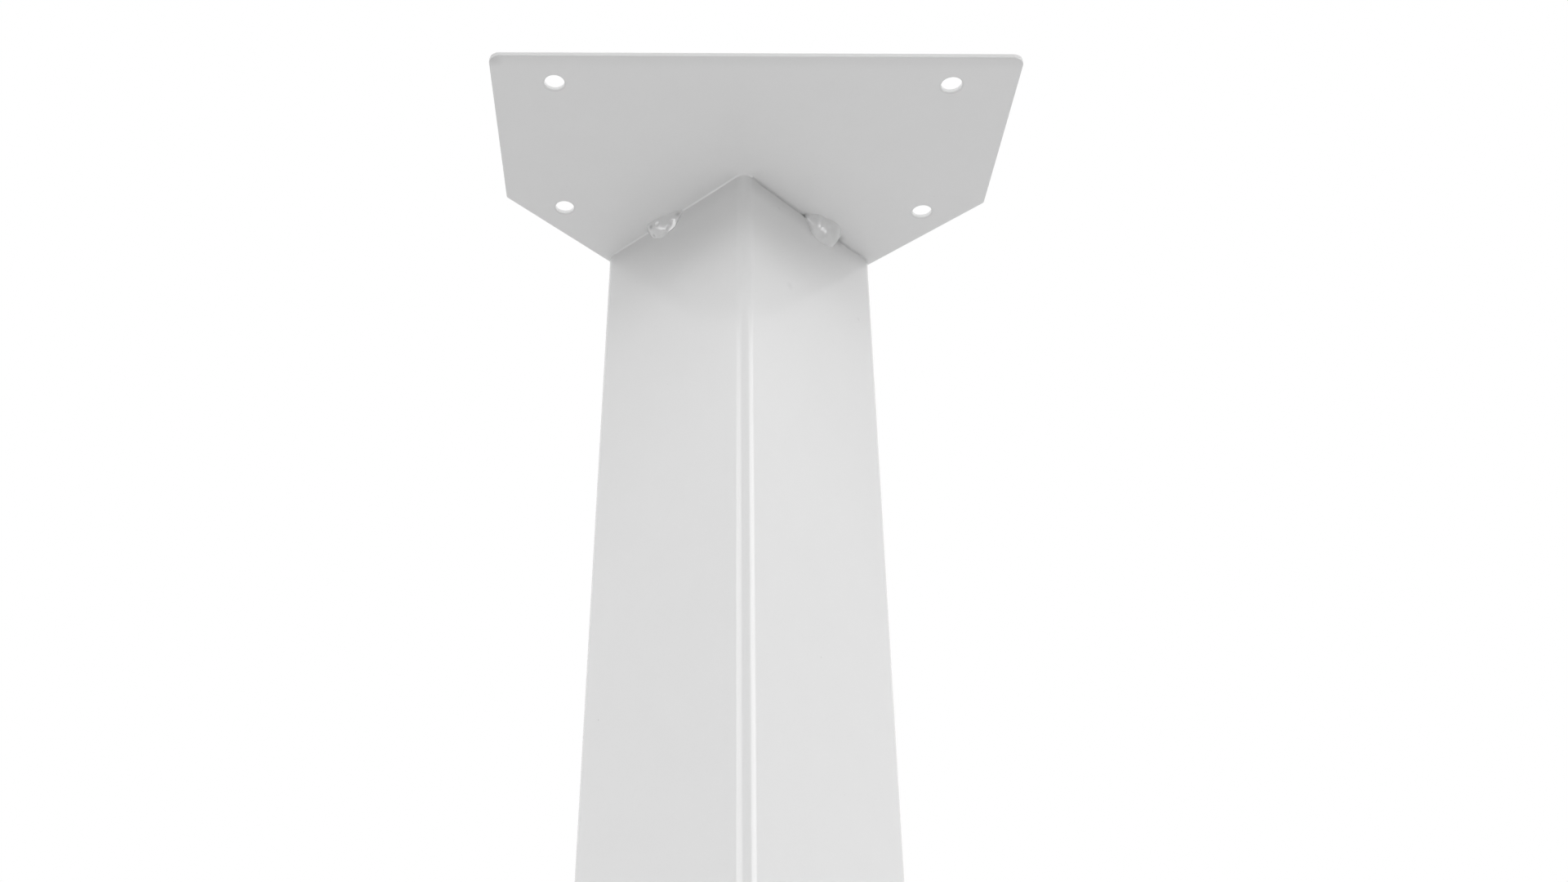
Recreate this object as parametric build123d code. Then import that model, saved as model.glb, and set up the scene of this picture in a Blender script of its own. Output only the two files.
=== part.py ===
from build123d import *
from math import sqrt
import os

# Square leg for a table corner, in millimetres. The origin is on the leg's axis at floor level, and +Z points
# up the leg. The tube stands with its corners on the X and Y axes, so that the long edge of the mounting
# plate, which points into the table, lies along X at -Y, and the tip of the plate is at +Y.

# Whole leg
leg_height = 710.0  # floor to the top face of the plate

# Square hollow section
tube_side = 80.0
tube_wall = 2.0
tube_corner_radius = 4.5  # outside radius of the rolled corners
tube_end_bevel = 0.4  # where the burr is taken off the outside of each sawn end
open_seam_bevel = 1.2  # along the top of the right inner face, where the tube stands a little off the plate
open_seam_runout = 5.0  # over which the larger bevel runs out towards each corner

# Mounting plate, cut from sheet
plate_thickness = 2.0
plate_width = 192.0  # along the long edge
plate_reach = 117.0  # from the leg's axis to the long edge
long_edge_corner_radius = 4.0
side_corner_radius = 1.5
edge_rounding = 0.4  # of the plate's outline

# Screw holes, on a rectangle
screw_hole_diameter = 7.5
screw_hole_bevel = 0.3  # where the burr is taken off each rim
screw_spacing_across = 145.0
screw_spacing_deep = 70.0
screw_edge_distance = 13.5  # from the long edge to the first row of holes

# Weld beads in the two open corners under the plate. An offset is from the middle of the tube's face to the
# middle of the bead, away from the front corner.
left_bead_length = 19.0
left_bead_offset = 3.5
left_bead_on_plate = 4.4  # reach out over the plate
left_bead_on_tube = 7.6  # reach down the tube
right_bead_length = 20.0
right_bead_offset = 6.5
right_bead_on_plate = 5.8
right_bead_on_tube = 8.8
bead_root_depth = 0.5  # how far a bead's middle line lies behind both faces

# Each bead is a run of sections along its seam: the place along the bead from 0 to 1, then its reach over
# the plate and down the tube, as shares of the largest reach.
left_bead_run = [
    (0.08, 0.30, 0.32),
    (0.36, 0.54, 0.92),
    (0.58, 0.84, 1.00),
    (0.80, 1.00, 0.82),
    (0.95, 0.62, 0.44),
]
right_bead_run = [
    (0.06, 0.42, 0.46),
    (0.30, 0.84, 0.92),
    (0.54, 0.96, 1.00),
    (0.78, 1.00, 0.84),
    (0.95, 0.56, 0.46),
]

# Welds on the two outer faces, ground flush with the plate's edge and the tube
ground_weld_length = 46.0
ground_weld_depth = 1.2

# Push-in plug that closes the foot
plug_head_height = 5.0
plug_head_rounding = 1.2
plug_sleeve_depth = 26.0
plug_sleeve_wall = 2.2
plug_rib_count = 4
plug_rib_height = 1.6  # how far each rib stands out from the sleeve
plug_rib_thickness = 1.2
plug_rib_clearance = 0.1  # between the ribs and the inside of the tube

# Where the pieces meet
plate_underside = leg_height - plate_thickness
half_side = tube_side / 2
tube_inside = tube_side - 2 * tube_wall
tube_inside_radius = max(tube_corner_radius - tube_wall, 0.5)


def square_bar(side, radius, bottom, height):
    """An upright bar whose section is a rounded square with its corners on the X and Y axes."""
    section = Rot(0, 0, 45) * RectangleRounded(side, side, radius)
    return Pos(0, 0, bottom) * extrude(section, amount=height)


def end_faces(solid):
    """The lowest and the highest face of a solid."""
    faces = solid.faces().sort_by(Axis.Z)
    return [faces[0], faces[-1]]


def mounting_plate():
    """A five-sided plate: the long edge, two square sides, and two edges flush with the tube's outside."""
    half_width = plate_width / 2
    tip = half_side * sqrt(2)
    corner_radii = {
        (-half_width, -plate_reach): long_edge_corner_radius,
        (half_width, -plate_reach): long_edge_corner_radius,
        (half_width, tip - half_width): side_corner_radius,
        (0, tip): tube_corner_radius,
        (-half_width, tip - half_width): side_corner_radius,
    }
    outline = make_face(Polyline(*corner_radii, close=True))
    for corner, radius in corner_radii.items():
        outline = fillet(outline.vertices().sort_by_distance(corner)[0], radius)
    pattern_centre = Pos(0, screw_edge_distance - plate_reach + screw_spacing_deep / 2)
    pattern = pattern_centre * GridLocations(screw_spacing_across, screw_spacing_deep, 2, 2)
    outline -= pattern * Circle(screw_hole_diameter / 2)
    plate = Pos(0, 0, plate_underside) * extrude(outline, amount=plate_thickness)
    rims = [edge for face in end_faces(plate) for wire in face.inner_wires() for edge in wire.edges()]
    plate = chamfer(rims, min(screw_hole_bevel, plate_thickness / 3))
    cut_edges = [edge for face in end_faces(plate) for edge in face.outer_wire().edges()]
    return fillet(cut_edges, min(edge_rounding, plate_thickness / 3))


def leg_tube():
    """The square hollow section, from the plug's head up to the underside of the plate."""
    length = plate_underside - plug_head_height
    tube = square_bar(tube_side, tube_corner_radius, plug_head_height, length)
    tube -= square_bar(tube_inside, tube_inside_radius, plug_head_height, length)
    cut_edges = [edge for face in end_faces(tube) for edge in face.outer_wire().edges()]
    return chamfer(cut_edges, min(tube_end_bevel, tube_wall / 3)) - open_seam()


def open_seam():
    """What the larger bevel takes off the top of the tube's right inner face."""
    face_centre = Vector(half_side, -half_side, 0) / sqrt(2) + Vector(0, 0, plate_underside)
    half_run = half_side - tube_corner_radius
    bevels = [
        (-half_run, tube_end_bevel),
        (open_seam_runout - half_run, open_seam_bevel),
        (half_run - open_seam_runout, open_seam_bevel),
        (half_run, tube_end_bevel),
    ]
    sections = []
    for place, size in bevels:
        across = Plane(origin=face_centre, x_dir=(1, -1, 0), z_dir=(1, 1, 0)) * Pos(0, 0, place)
        sections.append(across * make_face(Polyline((0, 0), (-size, 0), (0, size), close=True)))
    return loft(sections, ruled=True)


def inner_weld(length, offset, on_plate, on_tube, run):
    """A fillet weld under the plate against the tube's right-hand face, swelling and thinning along its seam.

    It is laid with X out of the face, Y along the seam and Z up, and then put in its place on the tube.
    """

    root = bead_root_depth

    def along(share):
        return Pos(-root, offset + length * (share - 0.5), root)

    sections = [
        along(share) * Rot(90, 0, 0) * Ellipse(on_plate * out + root, on_tube * down + root)
        for share, out, down in run
    ]
    round_bead = loft([along(0) * Vertex(0, 0, 0), *sections, along(1) * Vertex(0, 0, 0)])
    reach = 2 * (length + on_plate + on_tube)
    open_corner = Pos(0, offset, 0) * Box(reach, reach, reach, align=(Align.MIN, Align.CENTER, Align.MAX))
    face_centre = Vector(half_side, -half_side, 0) / sqrt(2) + Vector(0, 0, plate_underside)
    return Plane(origin=face_centre, x_dir=(1, -1, 0), z_dir=(0, 0, 1)) * (round_bead & open_corner)


def outer_weld():
    """The right-hand seam in a V groove, half in the plate's edge and half in the tube, ground flush."""
    depth = min(ground_weld_depth, tube_wall * 0.8, plate_thickness * 0.8)
    face_centre = Vector(half_side, half_side, 0) / sqrt(2) + Vector(0, 0, plate_underside)
    across = Plane(origin=face_centre, x_dir=(1, 1, 0), z_dir=(1, -1, 0))
    groove = across * make_face(Polyline((0, depth), (-depth, 0), (0, -depth), close=True))
    return extrude(groove, amount=ground_weld_length / 2, both=True)


def foot_plug():
    """A plastic plug: a flat head as wide as the tube, and a hollow ribbed sleeve that grips inside it."""
    head = square_bar(tube_side, tube_corner_radius, 0, plug_head_height)
    head = fillet(end_faces(head)[0].edges(), min(plug_head_rounding, plug_head_height / 3))
    rib_side = tube_inside - 2 * plug_rib_clearance
    sleeve_side = rib_side - 2 * plug_rib_height
    hollow_side = sleeve_side - 2 * plug_sleeve_wall
    sleeve = square_bar(sleeve_side, tube_inside_radius, plug_head_height, plug_sleeve_depth)
    rib_pitch = plug_sleeve_depth / (plug_rib_count + 0.5)
    for number in range(plug_rib_count):
        bottom = plug_head_height + rib_pitch * (number + 1) - plug_rib_thickness
        sleeve += square_bar(rib_side, tube_inside_radius, bottom, plug_rib_thickness)
    hollow = square_bar(hollow_side, tube_inside_radius, plug_head_height, plug_sleeve_depth)
    return head + (sleeve - hollow)


weld_right = outer_weld()
weld_left = mirror(weld_right, about=Plane.YZ)
left_bead = inner_weld(
    left_bead_length, left_bead_offset, left_bead_on_plate, left_bead_on_tube, left_bead_run
)
right_bead = inner_weld(
    right_bead_length, right_bead_offset, right_bead_on_plate, right_bead_on_tube, right_bead_run
)
parts = {
    "mounting_plate": mounting_plate() - weld_left - weld_right,
    "leg_tube": leg_tube() - weld_left - weld_right,
    "inner_weld_left": mirror(left_bead, about=Plane.YZ),
    "inner_weld_right": right_bead,
    "outer_weld_left": weld_left,
    "outer_weld_right": weld_right,
    "foot_plug": foot_plug(),
}

os.makedirs("parts", exist_ok=True)
for name, solid in parts.items():
    export_step(solid, f"parts/{name}.step")
    print(name, round(solid.volume), "mm3", solid.bounding_box().size)
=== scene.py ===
import math

import bmesh
import bpy
from mathutils import Euler, Matrix, Vector, noise


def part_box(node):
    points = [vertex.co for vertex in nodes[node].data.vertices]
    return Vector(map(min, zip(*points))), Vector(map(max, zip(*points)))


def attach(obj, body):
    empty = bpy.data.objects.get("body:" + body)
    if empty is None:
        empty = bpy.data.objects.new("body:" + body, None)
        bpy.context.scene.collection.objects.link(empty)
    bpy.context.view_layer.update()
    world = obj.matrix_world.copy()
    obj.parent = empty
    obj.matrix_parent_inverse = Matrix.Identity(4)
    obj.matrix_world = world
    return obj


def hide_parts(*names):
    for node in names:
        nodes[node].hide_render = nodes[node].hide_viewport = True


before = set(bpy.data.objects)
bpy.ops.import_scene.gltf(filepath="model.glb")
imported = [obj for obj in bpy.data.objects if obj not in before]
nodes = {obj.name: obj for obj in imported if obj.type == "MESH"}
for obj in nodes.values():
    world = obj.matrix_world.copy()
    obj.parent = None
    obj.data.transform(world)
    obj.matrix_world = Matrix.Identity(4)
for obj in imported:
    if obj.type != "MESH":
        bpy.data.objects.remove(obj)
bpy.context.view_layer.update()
mm = 0.001
slant = math.sqrt(0.5)  # sine and cosine of the 45 degrees at which the tube stands
halfSide = 40.0 * mm  # of the tube
print("frame loaded:", ", ".join(sorted(nodes)))


# A node's socket with the usual sums on it: an expression on values adds its Math nodes.
class Signal:
    def __init__(self, board, socket):
        self.board = board
        self.socket = socket

    def sum(self, operation, *others):
        inputs = dict(enumerate((self, *others)))
        return self.board.add("ShaderNodeMath", {"operation": operation}, inputs)["Value"]

    def __add__(self, other):
        return self.sum("ADD", other)

    def __sub__(self, other):
        return self.sum("SUBTRACT", other)

    def __rsub__(self, other):
        return self.sum("MULTIPLY", -1.0).sum("ADD", other)

    def __mul__(self, other):
        return self.sum("MULTIPLY", other)

    def __truediv__(self, other):
        return self.sum("DIVIDE", other)

    def __pow__(self, other):
        return self.sum("POWER", other)

    def __abs__(self):
        return self.sum("ABSOLUTE")

    __radd__ = __add__
    __rmul__ = __mul__

    def least(self, other):
        return self.sum("MINIMUM", other)

    def most(self, other):
        return self.sum("MAXIMUM", other)

    # 0 below start and 1 above end, eased between them; the other way round where start is above end
    def ease(self, start, end):
        settings = {"interpolation_type": "SMOOTHSTEP", "clamp": True}
        inputs = {"Value": self, "From Min": start, "From Max": end, "To Min": 0.0, "To Max": 1.0}
        return self.board.add("ShaderNodeMapRange", settings, inputs)["Result"]


# One node tree, with the few ways in which this script adds to it.
class Board:
    def __init__(self, owner):
        owner.use_nodes = True
        self.tree = owner.node_tree
        self.tree.nodes.clear()

    def add(self, kind, settings, inputs):
        made = self.tree.nodes.new(kind)
        for name, value in settings.items():
            if name == "stops":
                self.setStops(made.color_ramp, value)
            else:
                setattr(made, name, value)
        for name, value in inputs.items():
            if isinstance(value, Signal):
                self.tree.links.new(value.socket, made.inputs[name])
            else:
                made.inputs[name].default_value = value
        return {out.name: Signal(self, out) for out in made.outputs if out.enabled}

    def setStops(self, ramp, stops):
        while len(ramp.elements) < len(stops):
            ramp.elements.new(0.5)
        for element, (place, value) in zip(ramp.elements, stops):
            element.position = place
            element.color = (value, value, value, 1.0)

    def place(self):
        return self.add("ShaderNodeTexCoord", {}, {})["Object"]

    def split(self, vector):
        parts = self.add("ShaderNodeSeparateXYZ", {}, {"Vector": vector})
        return parts["X"], parts["Y"], parts["Z"]

    def stretch(self, vector, scale):
        return self.add("ShaderNodeMapping", {}, {"Vector": vector, "Scale": scale})["Vector"]

    def cloud(self, vector, size, detail=2.0, roughness=0.5):
        inputs = {"Vector": vector, "Scale": 1.0 / size, "Detail": detail, "Roughness": roughness}
        return self.add("ShaderNodeTexNoise", {}, inputs)["Fac"]

    def grey(self, value):
        inputs = {"Red": value, "Green": value, "Blue": value}
        return self.add("ShaderNodeCombineColor", {}, inputs)["Color"]

    def mixColour(self, factor, first, second):
        return self.add("ShaderNodeMix", {"data_type": "RGBA"}, {0: factor, 6: first, 7: second})["Result"]

    def bump(self, height):
        return self.add("ShaderNodeBump", {}, {"Height": height, "Strength": 1.0, "Distance": 1.0})["Normal"]

    def shade(self, inputs):
        shader = self.add("ShaderNodeBsdfPrincipled", {}, inputs)["BSDF"]
        self.add("ShaderNodeOutputMaterial", {}, {"Surface": shader})


def newFinish(name):
    finish = bpy.data.materials.new(name)
    return finish, Board(finish)


def wear(piece, finish):
    piece.data.materials.clear()
    piece.data.materials.append(finish)


# White powder coat, as it lies on every piece of steel: orange peel, a slight unevenness and tiny specks of dust
coat = {
    "colour": 0.86,
    "mottle": 0.010,  # unevenness of the colour
    "mottleSize": 14.0 * mm,
    "grain": 0.014,  # unevenness from powder grain to powder grain
    "grainSize": 0.45 * mm,
    "roughness": (0.10, 0.17),
    "glossSize": 6.0 * mm,
    "peelSize": 1.7 * mm,
    "peelHeight": 0.004 * mm,
    "waveSize": 9.0 * mm,
    "waveHeight": 0.012 * mm,
    "speckSpacing": 7.0 * mm,
    "speckless": 0.75,  # share of the pattern's cells that have none
    "speckRadius": 0.22 * mm,
    "speckShade": 0.22,
}


class Coat:
    def __init__(self, board):
        self.board = board
        self.place = board.place()
        self.across, self.deep, self.rise = board.split(self.place)
        patches = board.cloud(self.place, coat["mottleSize"], 3.0)
        grains = board.cloud(self.place, coat["grainSize"], 2.0)
        uneven = (patches - 0.5) * (2.0 * coat["mottle"]) + (grains - 0.5) * (2.0 * coat["grain"])
        self.level = coat["colour"] * (1.0 + uneven)
        smooth, dull = coat["roughness"]
        self.gloss = board.cloud(self.place, coat["glossSize"], 3.0) * (dull - smooth) + smooth
        peel = board.cloud(self.place, coat["peelSize"], 2.0) * coat["peelHeight"]
        self.height = peel + board.cloud(self.place, coat["waveSize"], 1.0) * coat["waveHeight"]
        self.speckle()

    def darken(self, mask, shade):
        self.level = self.level * (1.0 - mask * shade)

    # Dark specks of uneven size, at most one in each cell of a loose pattern
    def speckle(self):
        spacing, speckless = coat["speckSpacing"], coat["speckless"]
        inputs = {"Vector": self.place, "Scale": 1.0 / spacing, "Randomness": 1.0}
        cells = self.board.add("ShaderNodeTexVoronoi", {"feature": "F1"}, inputs)
        pick, size, _ = self.board.split(cells["Color"])
        reach = (size + 0.5) * (coat["speckRadius"] / spacing)
        picked = pick.ease(speckless - 0.01, speckless + 0.01)
        self.darken((cells["Distance"] / reach).ease(1.0, 0.5) * picked, coat["speckShade"])

    # A round soft spot at a point of the surface: 1 in its middle, 0 from its radius on
    def spot(self, point, radius):
        inputs = {0: self.place, 1: tuple(point)}
        gap = self.board.add("ShaderNodeVectorMath", {"operation": "DISTANCE"}, inputs)["Value"]
        return (gap / radius).ease(1.0, 0.0)

    def finish(self, shine=0.5):
        self.board.shade({
            "Base Color": self.board.grey(self.level),
            "Roughness": self.gloss,
            "Specular IOR Level": shine,
            "Normal": self.board.bump(self.height),
        })


# A local frame at the middle of the seam under the plate: the left or the right inner face of the tube
def seamSeat(side):
    away = halfSide * slant
    _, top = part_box("leg_tube")
    return Matrix((
        (side * slant, side * slant, 0.0, side * away),
        (-slant, slant, 0.0, -away),
        (0.0, 0.0, 1.0, top[2]),
        (0.0, 0.0, 0.0, 1.0),
    ))


# Painted shade in the corner under the plate, where the plate and the tube shade each other. Along the open gap of
# the right inner seam it is painted shadow of the gap, where the powder also lies thin, most of all beside the two
# ends of the bead. None of this shade goes far behind the tube's face, up through the plate or past the seam's
# ends.
seamGapShade = {
    "behind": (-2.5 * mm, -1.5 * mm),
    "above": (-1.2 * mm, -0.6 * mm),
    "past": (39.0 * mm, 35.0 * mm),
    "cornerOnTube": 10.0 * mm,
    "cornerOnPlate": 8.0 * mm,
    "cornerPaintedShades": {"leg_tube": (0.045, 0.14), "mounting_plate": (0.025, 0.05)},  # painted shade in the corner, left and right
    "cornerFade": (30.0 * mm, 5.0 * mm),  # towards the side corners
    "cornerLeft": 0.4,  # share of the shade that is left there
    # painted shadow in the right seam's open gap, where the coat is also thin
    "shade": 0.08,
    "onTube": 1.9 * mm,
    "onPlate": 0.5 * mm,
    # painted shadow of the gap beside each end of the bead, where the coat is also thin: place out, along and up,
    # radius and shade
    "ends": [
        (0.3 * mm, -3.4 * mm, -0.4 * mm, 2.6 * mm, 0.20),
        (0.3 * mm, 17.8 * mm, -1.0 * mm, 3.6 * mm, 0.24),
    ],
}


def paintSeamShade(layer, node, level):
    down = level - layer.rise
    # Painted shade in the corner under the plate, on the left and the right side
    for side, shade in zip((-1.0, 1.0), seamGapShade["cornerPaintedShades"][node]):
        out = (layer.across * side - layer.deep) * slant - halfSide
        along = (layer.across * side + layer.deep) * slant
        here = out.ease(*seamGapShade["behind"]) * down.ease(*seamGapShade["above"]) * abs(along).ease(*seamGapShade["past"])
        near = here * out.ease(seamGapShade["cornerOnPlate"], 0.0) * down.ease(seamGapShade["cornerOnTube"], 1.0 * mm)
        fade = along.ease(*seamGapShade["cornerFade"]) * (1.0 - seamGapShade["cornerLeft"]) + seamGapShade["cornerLeft"]
        layer.darken(near * fade, shade)
    # The loop's last side is the right one, which has the open gap: painted shadow along it, where the coat is
    # also thin
    onPlate, onTube = seamGapShade["onPlate"], seamGapShade["onTube"]
    near = here * out.ease(onPlate, 0.0) * down.ease(onTube, 0.4 * onTube)
    layer.darken(near, seamGapShade["shade"])
    # Painted shadow of the gap beside the bead's two ends, where the coat is also thin
    for *spot, radius, shade in seamGapShade["ends"]:
        layer.darken(layer.spot(seamSeat(1.0) @ Vector(spot), radius), shade)


# The plate's own marks: the coat runs over the sheet's turned edges and over the rims of the holes. The grey band
# along the near edge, the grey rings round the holes and the darker near left corner, where two turned edges meet,
# are painted shade of those turned edges and rims.
plateMarks = {
    "edgeWidth": 5.2 * mm,
    "edgeDrop": 0.10 * mm,
    "edgeBand": 6.5 * mm,  # along the near edge, where the turned edge gets a little painted shade
    "edgePaintedShade": 0.045,
    "rimWidth": 1.6 * mm,
    "rimDrop": 0.08 * mm,
    "rimPaintedShade": 0.08,
    "rimStain": (0.9 * mm, 0.3 * mm),  # how far from the hole's edge its painted shade starts, and is full
    "holeRadius": 3.75 * mm,
    "holePlaces": (72.5 * mm, -103.5 * mm, -33.5 * mm),  # how far across, and how deep the two rows lie
    # painted shade at the near left corner, where the two turned edges meet
    "nearCornerShade": (-0.0945, -0.1155, 0.708),
    "nearCornerShadeRadius": 5.0 * mm,
    "nearCornerShadeAmount": 0.12,
}


def plateFinish():
    finish, board = newFinish("plate coat")
    layer = Coat(board)
    lowest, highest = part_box("mounting_plate")
    side = abs(layer.across)
    nearEdge = layer.deep - lowest[1]
    sideEdge = highest[0] - side
    tip = halfSide / slant  # where the two slanting edges meet, before the corner is rounded
    slantEdge = (tip - side - layer.deep) * slant
    edge = nearEdge.least(sideEdge).least(slantEdge)
    layer.height = layer.height - edge.ease(plateMarks["edgeWidth"], 0.0) * plateMarks["edgeDrop"]
    # Painted shade of the turned near edge
    paintedEdgeBand = nearEdge.ease(plateMarks["edgeBand"], 0.1 * plateMarks["edgeBand"])
    layer.darken(paintedEdgeBand, plateMarks["edgePaintedShade"])
    across, near, far = plateMarks["holePlaces"]
    fromRow = abs(layer.deep - (near + far) / 2) - (far - near) / 2
    fromHole = ((side - across) ** 2.0 + fromRow ** 2.0) ** 0.5
    radius = plateMarks["holeRadius"]
    layer.height = layer.height - fromHole.ease(radius + plateMarks["rimWidth"], radius) * plateMarks["rimDrop"]
    # Painted shade round each hole's rim
    start, full = plateMarks["rimStain"]
    layer.darken(fromHole.ease(radius + start, radius + full), plateMarks["rimPaintedShade"])
    # Painted shade round the near left corner, where the two turned edges meet
    nearCornerShading = layer.spot(plateMarks["nearCornerShade"], plateMarks["nearCornerShadeRadius"])
    layer.darken(nearCornerShading, plateMarks["nearCornerShadeAmount"])
    # Painted shade in the corner under the tube, and painted shadow along the right seam's gap
    paintSeamShade(layer, "mounting_plate", lowest[2])
    layer.finish()
    return finish


# The tube's own marks: fine lengthwise lines where the strip was rolled round its corners, one pit and smudges
tubeMarks = {
    "lineSize": 0.35 * mm,
    "lineLength": 30.0 * mm,
    "lineHeight": 0.006 * mm,
    "cornerReach": 7.0 * mm,
    "pit": (-0.0014, -0.0551, 0.5821),
    "pitRadius": 0.9 * mm,
    "pitDepth": 0.15 * mm,
    # place, radius and shade
    "smudges": [
        (0.0183, -0.0383, 0.6657, 2.6 * mm, 0.06),
        (0.0484, -0.0081, 0.6724, 1.4 * mm, 0.07),
        (0.0144, -0.0421, 0.7016, 1.3 * mm, 0.06),
    ],
}


def tubeFinish():
    finish, board = newFinish("tube coat")
    layer = Coat(board)
    _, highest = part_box("leg_tube")
    narrow = 1.0 / tubeMarks["lineSize"]
    stretched = board.stretch(layer.place, (narrow, narrow, 1.0 / tubeMarks["lineLength"]))
    lines = board.cloud(stretched, 1.0, 2.0)
    fromCorner = highest[0] - abs(layer.across).most(abs(layer.deep))
    rolled = fromCorner.ease(tubeMarks["cornerReach"], 0.0)
    layer.height = layer.height + lines * rolled * tubeMarks["lineHeight"]
    layer.height = layer.height - layer.spot(tubeMarks["pit"], tubeMarks["pitRadius"]) * tubeMarks["pitDepth"]
    for *place, radius, shade in tubeMarks["smudges"]:
        layer.darken(layer.spot(place, radius), shade)
    # Painted shade in the corner under the plate, and painted shadow along the right seam's gap
    paintSeamShade(layer, "leg_tube", highest[2])
    layer.finish()
    return finish


# Coat over the welds, glossier where it ran thick. A stain is a dark pore or smudge, or painted shadow of the
# seam's gap where a bead ends in it and the coat is thin: its place out from the tube, along the seam and up from
# the plate, its radius and its shade.
weldCoat = {
    "gloss": 0.8,
    "lumpSize": 2.2 * mm,
    "lumpHeight": 0.03 * mm,
}


def weldFinish(name, stainsAndShade=(), seat=None, shine=0.5):
    finish, board = newFinish(name)
    layer = Coat(board)
    layer.gloss = layer.gloss * weldCoat["gloss"]
    layer.height = layer.height + board.cloud(layer.place, weldCoat["lumpSize"], 2.0) * weldCoat["lumpHeight"]
    for *spot, radius, shade in stainsAndShade:
        layer.darken(layer.spot(seat @ Vector(spot), radius), shade)
    layer.finish(shine)
    return finish


# Pale grey moulded plastic, spark-eroded to a fine texture
plugPlastic = {
    "colour": 0.78,
    "tint": (1.0, 1.0, 0.985, 1.0),
    "roughness": 0.46,
    "roughnessSpread": 0.2,
    "grainSize": 0.28 * mm,
    "grainHeight": 0.02 * mm,
    "scuffSize": 9.0 * mm,
    "scuffSpread": (0.48, 0.68),  # of the cloud that places the scuffs: where they start, and are full
    "scuffReach": 1.2 * mm,  # up from the floor
    "scuffShade": 0.16,
}


def plugFinish():
    finish, board = newFinish("foot plastic")
    place = board.place()
    _, _, rise = board.split(place)
    scuffs = board.cloud(board.stretch(place, (1.0, 1.0, 3.0)), plugPlastic["scuffSize"], 4.0, 0.65)
    worn = scuffs.ease(*plugPlastic["scuffSpread"]) * rise.ease(plugPlastic["scuffReach"], 0.0)
    level = plugPlastic["colour"] * (1.0 - worn * plugPlastic["scuffShade"])
    grain = board.cloud(place, plugPlastic["grainSize"], 2.0) * plugPlastic["grainHeight"]
    board.shade({
        "Base Color": board.mixColour(level, (0.0, 0.0, 0.0, 1.0), plugPlastic["tint"]),
        "Roughness": plugPlastic["roughness"] + (scuffs - 0.5) * plugPlastic["roughnessSpread"],
        "Normal": board.bump(grain),
    })
    return finish


finishes = {
    "mounting_plate": plateFinish(),
    "leg_tube": tubeFinish(),
    "outer_weld_left": weldFinish("coat over ground weld"),
    "foot_plug": plugFinish(),
}
finishes["outer_weld_right"] = finishes["outer_weld_left"]
for name, finish in finishes.items():
    wear(nodes[name], finish)
    print("finish on", name)


# The two weld beads in the corner under the plate. Each is laid with X out of the tube's face, Y along the seam
# away from the front corner and Z up, and is then put in its place. A run gives, from the end near the front
# corner, the place along the bead, its reach over the plate and down the tube, and its fullness (2 is an ellipse).
leftBead = {
    "length": 19.5 * mm,
    "offset": 3.6 * mm,
    "onPlate": 4.4 * mm,
    "onTube": 7.6 * mm,
    "run": [
        (0.0, 0.34, 0.36, 2.0),
        (0.3, 0.52, 0.84, 2.1),
        (0.55, 0.84, 1.04, 1.9),
        (0.8, 1.06, 0.84, 1.5),
        (1.0, 0.80, 0.62, 1.3),
    ],
    "lumps": 0.16,
    "lumpSize": 4.0 * mm,
    "seed": 3.0,
    "marks": [(0.26, 0.7, 5.0 * mm, 1.3 * mm)],
    "flats": [
        ((0.8 * mm, -2.5 * mm, -5.3 * mm), (0.84, -0.19, -0.51), 2.5 * mm),
        ((0.45 * mm, -0.3 * mm, -6.9 * mm), (0.84, -0.19, -0.51), 2.5 * mm),
        ((3.55 * mm, 5.2 * mm, -2.1 * mm), (0.84, -0.19, -0.51), 1.5 * mm),
    ],
    "shine": 1.0,
    "stainsAndShade": [
        (3.7 * mm, 8.6 * mm, -2.4 * mm, 1.5 * mm, 0.32),
        (1.2 * mm, 9.2 * mm, -5.1 * mm, 1.3 * mm, 0.28),
        (1.1 * mm, -4.4 * mm, -1.6 * mm, 1.8 * mm, 0.30),
    ],
}
rightBead = {
    "length": 20.5 * mm,
    "offset": 6.6 * mm,
    "onPlate": 5.8 * mm,
    "onTube": 8.8 * mm,
    "run": [
        (0.0, 0.54, 0.54, 2.4),
        (0.3, 0.86, 0.92, 2.1),
        (0.54, 0.98, 1.02, 1.7),
        (0.8, 1.04, 0.90, 1.4),
        (1.0, 0.80, 0.64, 1.4),
    ],
    "lumps": 0.14,
    "lumpSize": 5.0 * mm,
    "seed": 11.0,
    "marks": [(0.18, 0.6, 4.0 * mm, 0.8 * mm), (0.38, 0.5, 2.2 * mm, 0.3 * mm)],
    "flats": [],
    "shine": 0.6,
    "stainsAndShade": [
        # the first is painted shadow of the seam's gap at the bead's end, where the coat is also thin
        (0.7 * mm, -3.5 * mm, -0.9 * mm, 2.0 * mm, 0.25),
        (3.8 * mm, 14.2 * mm, -1.9 * mm, 0.9 * mm, 0.14),
        (3.4 * mm, 8.5 * mm, -5.0 * mm, 10.0 * mm, 0.13),
    ],
}


# What both beads share
beadMaking = {
    "ringSteps": 72,
    "lengthSteps": 110,
    "runEasing": 0.16,  # share of the length over which one row of the run goes over into the next
    "quarterGirth": 8.0 * mm,  # rough way round the bead from the plate to the tube, which places the marks
    "creaseAngle": 55.0,  # sharper bends stay edges, also on the seam's coat
}


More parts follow.
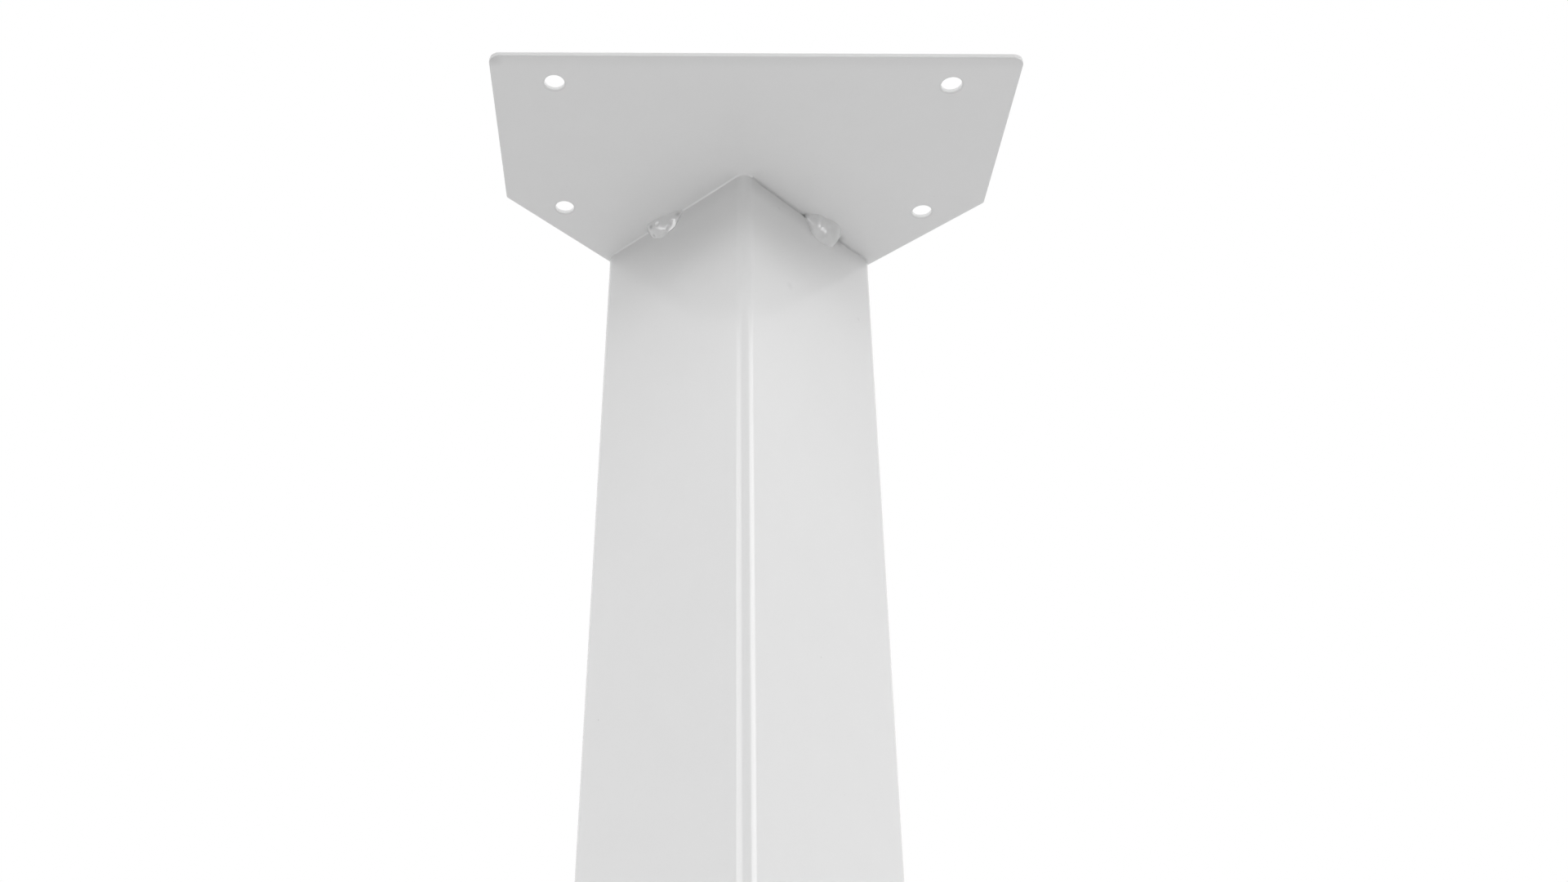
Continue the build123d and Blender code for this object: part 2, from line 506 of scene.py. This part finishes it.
# The bead's two reaches and its fullness at a share of its length, eased through its run and round at both ends
def reachAt(run, share):
    near = [math.exp(-((share - place) / beadMaking["runEasing"]) ** 2) for place, *_ in run]
    out, down, fullness = (
        sum(weight * row[column] for weight, row in zip(near, run)) / sum(near) for column in (1, 2, 3)
    )
    closing = math.sqrt(max(1.0 - abs(2.0 * share - 1.0) ** 4, 0.0))
    return out * closing, down * closing, fullness


def keptEdges(cut):
    return [part for part in cut["geom_cut"] if isinstance(part, bmesh.types.BMEdge)]


# Smooth shading, with the sharper bends kept as edges
def softenFaces(shape):
    bmesh.ops.recalc_face_normals(shape, faces=shape.faces)
    crease = math.radians(beadMaking["creaseAngle"])
    for face in shape.faces:
        face.smooth = True
    for edge in shape.edges:
        edge.smooth = len(edge.link_faces) == 2 and edge.calc_face_angle(0.0) < crease


# Makes the shape a piece in its place; the left seat is a mirrored one, so the faces are turned outwards again
def setOnLeg(name, shape, side, finish):
    bmesh.ops.transform(shape, matrix=seamSeat(side), verts=shape.verts)
    bmesh.ops.recalc_face_normals(shape, faces=shape.faces)
    mesh = bpy.data.meshes.new(name)
    shape.to_mesh(mesh)
    shape.free()
    piece = bpy.data.objects.new(name, mesh)
    bpy.context.scene.collection.objects.link(piece)
    wear(piece, finish)
    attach(piece, "root")
    print("laid", name, "with", len(mesh.polygons), "faces")
    return piece


# A mark is a knob, or a dent where it is less than 0: its share of the length, its turn from the plate (0) to the
# tube (1), its radius and its height. A flat is where the bead set level: its middle out from the tube, along the
# seam and up from the plate, the way it faces, and its radius.
def layBead(name, node, bead, side):
    shape = bmesh.new()
    ringSteps, lengthSteps = beadMaking["ringSteps"], beadMaking["lengthSteps"]
    bmesh.ops.create_uvsphere(shape, u_segments=ringSteps, v_segments=lengthSteps, radius=1.0)
    onSide = Matrix.Rotation(math.radians(-90.0), 3, "X")
    bmesh.ops.rotate(shape, cent=(0.0, 0.0, 0.0), matrix=onSide, verts=shape.verts)
    for vert in shape.verts:
        across, along, up = vert.co
        share = min(max(0.5 + along / 2.0, 0.0), 1.0)
        ring = max(math.hypot(across, up), 1e-6)
        across, up = across / ring, up / ring
        out, down, power = reachAt(bead["run"], share)
        swell = (abs(across) ** power + abs(up) ** power) ** (-1.0 / power)
        spot = Vector((across, bead["seed"] + share * bead["length"] / bead["lumpSize"], up))
        swell *= 1.0 + bead["lumps"] * noise.noise(spot)
        rise = 0.0
        turn = math.atan2(-up, across) / (math.pi / 2.0)
        for markShare, markTurn, size, height in bead["marks"]:
            onLength = (share - markShare) * bead["length"]
            onGirth = (turn - markTurn) * beadMaking["quarterGirth"]
            rise += height * max(1.0 - (math.hypot(onLength, onGirth) / size) ** 2, 0.0) ** 2
        vert.co.x = across * max(swell * out * bead["onPlate"] + rise, 0.0)
        vert.co.z = up * max(swell * down * bead["onTube"] + rise, 0.0)
        vert.co.y = bead["offset"] + (share - 0.5) * bead["length"]
    for middle, facing, reach in bead["flats"]:
        facing = Vector(facing).normalized()
        for vert in shape.verts:
            proud = (vert.co - Vector(middle)).dot(facing)
            gap = (vert.co - Vector(middle)).length / reach
            if proud > 0.0 and gap < 1.0:
                vert.co -= facing * proud * (1.0 - gap ** 8) ** 2
    for normal in ((-1.0, 0.0, 0.0), (0.0, 0.0, 1.0)):
        everything = [*shape.verts, *shape.edges, *shape.faces]
        cut = bmesh.ops.bisect_plane(
            shape, geom=everything, dist=1e-7, plane_co=(0.0, 0.0, 0.0), plane_no=normal, clear_outer=True
        )
        bmesh.ops.contextual_create(shape, geom=keptEdges(cut))
    bmesh.ops.remove_doubles(shape, verts=shape.verts, dist=1e-6)
    bmesh.ops.triangulate(shape, faces=[face for face in shape.faces if len(face.verts) > 4])
    softenFaces(shape)
    finish = weldFinish("coat over " + name, bead["stainsAndShade"], seamSeat(side), bead["shine"])
    piece = setOnLeg(name, shape, side, finish)
    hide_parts(node)


layBead("left_weld_bead", "inner_weld_left", leftBead, -1.0)
layBead("right_weld_bead", "inner_weld_right", rightBead, 1.0)


# The coat's own fillet in the seam under the plate. On the left and round the front corner it fills the seam and
# shows as a fine line, whose colour is painted lighter as a painted highlight; on the right the tube stands off
# the plate, and the coat only closes the gap's bottom.
seamCoat = {
    "cornerRadius": 4.5 * mm,
    "leftReach": 0.55 * mm,
    "rightReach": 0.4 * mm,
    "root": 0.5 * mm,  # how far it goes into the steel, out of sight
    "steps": 5,
    "lengthSteps": 24,
    "turnSteps": 8,
    "leftTurn": 90.0,  # how far it goes on round the front corner
    "rightTurn": 0.0,
    "sideTurn": 60.0,  # and round each side corner
    "leftSetBack": 0.0,
    "rightSetBack": 0.8 * mm,
    "runout": 5.0 * mm,
    "leftPaintedLight": 1.05,  # painted highlight: the left seam's coat is made a little whiter
}


# The left seam's coat, painted lighter as a painted highlight along the seam
def litLeftSeamFinish():
    finish, board = newFinish("coat in left seam")
    layer = Coat(board)
    layer.level = layer.level * seamCoat["leftPaintedLight"]
    layer.finish()
    return finish


def fillSeam(name, side, finish):
    reach, root, steps = seamCoat[name + "Reach"], seamCoat["root"], seamCoat["steps"]
    radius = seamCoat["cornerRadius"]
    end = halfSide - radius
    shape = bmesh.new()
    section = [(-root, root * 0.2), (reach, 0.0)]
    for step in range(1, steps):
        turn = math.radians(90.0 * step / steps)
        section.append((reach * (1.0 - math.sin(turn)), reach * (math.cos(turn) - 1.0)))
    section += [(0.0, -reach), (-root, -reach - root * 0.5)]
    verts = [shape.verts.new((out, -end, up)) for out, up in section]
    loop = [shape.edges.new((verts[number - 1], verts[number])) for number in range(len(verts))]
    turn = seamCoat[name + "Turn"]
    if turn > 0.0:
        centre = (-radius, -end, 0.0)
        bmesh.ops.rotate(shape, cent=centre, matrix=Matrix.Rotation(math.radians(-turn), 3, "Z"), verts=verts)
        loop = swing(shape, loop, centre, turn)
    for _ in range(seamCoat["lengthSteps"]):
        grown = bmesh.ops.extrude_edge_only(shape, edges=loop)["geom"]
        moved = [part for part in grown if isinstance(part, bmesh.types.BMVert)]
        bmesh.ops.translate(shape, vec=(0.0, 2.0 * end / seamCoat["lengthSteps"], 0.0), verts=moved)
        ends = set(moved)
        loop = [part for part in grown if isinstance(part, bmesh.types.BMEdge) and ends.issuperset(part.verts)]
    swing(shape, loop, (-radius, end, 0.0), seamCoat["sideTurn"])
    bmesh.ops.holes_fill(shape, edges=shape.edges, sides=0)
    for vert in shape.verts:
        inside = min(max((end - abs(vert.co.y)) / seamCoat["runout"], 0.0), 1.0)
        vert.co.x -= seamCoat[name + "SetBack"] * inside
    softenFaces(shape)
    setOnLeg(name + "_seam_coat", shape, side, finish)


# Goes on with the last section round an upright axis
def swing(shape, loop, centre, turn):
    ring = [*loop, *{vert for edge in loop for vert in edge.verts}]
    inputs = {"cent": centre, "axis": (0.0, 0.0, 1.0), "angle": math.radians(turn), "steps": seamCoat["turnSteps"]}
    spun = bmesh.ops.spin(shape, geom=ring, **inputs)
    return [part for part in spun["geom_last"] if isinstance(part, bmesh.types.BMEdge)]


fillSeam("left", -1.0, litLeftSeamFinish())
fillSeam("right", 1.0, finishes["leg_tube"])


# Floor, lamps and background. Two tall softboxes, at an angle from the camera's side of the leg, show only in
# its gloss; the lamps and the sky light it.
studio = {
    "floorRadius": 4.0,
    "floorGap": 0.05 * mm,  # by which the floor lies below the foot, so that the two don't share a plane
    "floorSteps": 96,
    "floorColour": 0.80,
    "clearWithin": 0.4 * mm,  # for light that meets the floor as near as this to where it starts
    "fadeFrom": 1.0,
    "fadeTo": 2.6,
    "skyStops": [(0.0, 0.002), (0.17, 0.635), (0.34, 2.331), (0.5, 1.202), (0.7, 0.63), (1.0, 0.05)],
    "glowBelow": 0.75,  # of the sky under the floor, which only views from below show
    "glowEdge": (-0.3, -0.5),
    "boxDistance": 1.2,  # from the leg's axis
    "boxBottom": 0.15,
    "boxTop": 1.57,
    "boxFull": 1.20,  # up to this height a box is at its brightest
    "boxDimming": 0.45,  # share that it has lost at its top
    "boxSides": {"left": (-57.0, 1.05, 3.5), "right": (58.0, 0.90, 4.4)},  # turn from the front, width and glow
    "lampPlaces": {
        "left": (-1.25, 0.1, 1.05),
        "right": (1.25, 0.1, 1.05),
        "front": (0.0, -1.15, 1.9),
    },
    "lampAim": (0.0, 0.0, 0.55),
    "lampSizes": {"left": 0.9, "right": 0.9, "front": 0.5},
    "leftGlow": 0.235,
    "rightGlow": 0.859,
    "frontGlow": 2.537,
}


def layFloor():
    mesh = bpy.data.meshes.new("floor")
    shape = bmesh.new()
    bmesh.ops.create_circle(shape, cap_ends=True, segments=studio["floorSteps"], radius=studio["floorRadius"])
    bmesh.ops.translate(shape, vec=(0.0, 0.0, -studio["floorGap"]), verts=shape.verts)
    shape.to_mesh(mesh)
    shape.free()
    floor = bpy.data.objects.new("floor", mesh)
    bpy.context.scene.collection.objects.link(floor)
    finish, board = newFinish("pale floor")
    across, deep, _ = board.split(board.place())
    radius = (across ** 2.0 + deep ** 2.0) ** 0.5
    fade = radius.ease(studio["fadeFrom"], studio["fadeTo"])
    level = studio["floorColour"]
    matte = board.add("ShaderNodeBsdfDiffuse", {}, {"Color": (level, level, level, 1.0)})["BSDF"]
    white = board.add("ShaderNodeEmission", {}, {"Strength": 1.0})["Emission"]
    path = board.add("ShaderNodeLightPath", {}, {})
    shown = board.add("ShaderNodeMixShader", {}, {0: fade * path["Is Camera Ray"], 1: matte, 2: white})["Shader"]
    below = board.add("ShaderNodeNewGeometry", {}, {})["Backfacing"]
    # Seen from below the floor is clear, also for the light that leaves the foot's underside
    close = path["Ray Length"].sum("LESS_THAN", studio["clearWithin"])
    clear = board.add("ShaderNodeBsdfTransparent", {}, {})["BSDF"]
    whole = board.add("ShaderNodeMixShader", {}, {0: below.most(close), 1: shown, 2: clear})["Shader"]
    board.add("ShaderNodeOutputMaterial", {}, {"Surface": whole})
    wear(floor, finish)


def standSoftbox(side):
    angle, width, glow = studio["boxSides"][side]
    bottom, top = studio["boxBottom"], studio["boxTop"]
    mesh = bpy.data.meshes.new(side + " softbox")
    sheet = bmesh.new()
    bmesh.ops.create_grid(sheet, x_segments=1, y_segments=1, size=0.5)
    upright = Matrix.Rotation(math.radians(90.0), 4, "X")
    turned = Matrix.Rotation(math.radians(angle), 4, "Z")
    place = Matrix.Translation((0.0, -studio["boxDistance"], (bottom + top) / 2))
    size = Matrix.Diagonal((width, 1.0, top - bottom, 1.0))
    bmesh.ops.transform(sheet, matrix=turned @ place @ size @ upright, verts=sheet.verts)
    sheet.to_mesh(mesh)
    sheet.free()
    softbox = bpy.data.objects.new(side + " softbox", mesh)
    bpy.context.scene.collection.objects.link(softbox)
    finish, board = newFinish(side + " softbox")
    _, _, rise = board.split(board.place())
    shade = rise.ease(top, studio["boxFull"]) * studio["boxDimming"] + (1.0 - studio["boxDimming"])
    light = board.add("ShaderNodeEmission", {}, {"Color": board.grey(shade), "Strength": glow})["Emission"]
    board.add("ShaderNodeOutputMaterial", {}, {"Surface": light})
    wear(softbox, finish)
    softbox.visible_camera = False
    softbox.visible_diffuse = False
    softbox.visible_shadow = False


def hangLamp(name, place, aim, size, glow):
    lamp = bpy.data.lights.new(name, "AREA")
    lamp.shape = "SQUARE"
    lamp.size = size
    lamp.energy = glow * math.pi * size ** 2
    holder = bpy.data.objects.new(name, lamp)
    holder.location = place
    holder.rotation_euler = (Vector(place) - Vector(aim)).to_track_quat("Z", "Y").to_euler()
    holder.visible_camera = False
    holder.visible_glossy = False
    bpy.context.scene.collection.objects.link(holder)


def lightStudio():
    world = bpy.data.worlds.new("studio")
    bpy.context.scene.world = world
    board = Board(world)
    _, _, rise = board.split(board.add("ShaderNodeTexCoord", {}, {})["Generated"])
    sky = board.add("ShaderNodeValToRGB", {"stops": studio["skyStops"]}, {0: rise})["Color"]
    low = board.grey(studio["glowBelow"])
    sky = board.mixColour(rise.ease(*studio["glowEdge"]), sky, low)
    path = board.add("ShaderNodeLightPath", {}, {})
    seen = path["Is Camera Ray"] + path["Is Glossy Ray"] + path["Is Transmission Ray"]
    colour = board.mixColour(seen.least(1.0), sky, (1.0, 1.0, 1.0, 1.0))
    glow = board.add("ShaderNodeBackground", {}, {"Color": colour, "Strength": 1.0})["Background"]
    board.add("ShaderNodeOutputWorld", {}, {"Surface": glow})
    for name, place in studio["lampPlaces"].items():
        hangLamp(name + " lamp", place, studio["lampAim"], studio["lampSizes"][name], studio[name + "Glow"])
    for side in studio["boxSides"]:
        standSoftbox(side)


layFloor()
lightStudio()
print("floor and lamps placed")

# The camera stands below the plate and looks up at it. The middle of the lens lies left of the middle of the
# frame, as in the photograph, and the shift follows that.
camera = {
    "place": (-23.11 * mm, -491.94 * mm, 314.89 * mm),
    "turn": (121.431, -3.372, 2.911),
    "lens": 33.3476,
    "sensor": 36.0,
    "shift": 0.1354,
}


def setCamera():
    lens = bpy.data.cameras.new("camera")
    lens.lens = camera["lens"]
    lens.sensor_width = camera["sensor"]
    lens.shift_x = camera["shift"]
    lens.clip_start = 0.01
    holder = bpy.data.objects.new("camera", lens)
    holder.location = camera["place"]
    holder.rotation_euler = Euler([math.radians(angle) for angle in camera["turn"]])
    bpy.context.scene.collection.objects.link(holder)
    bpy.context.scene.camera = holder


setCamera()
bpy.context.scene.view_settings.view_transform = "Standard"
print("camera set")
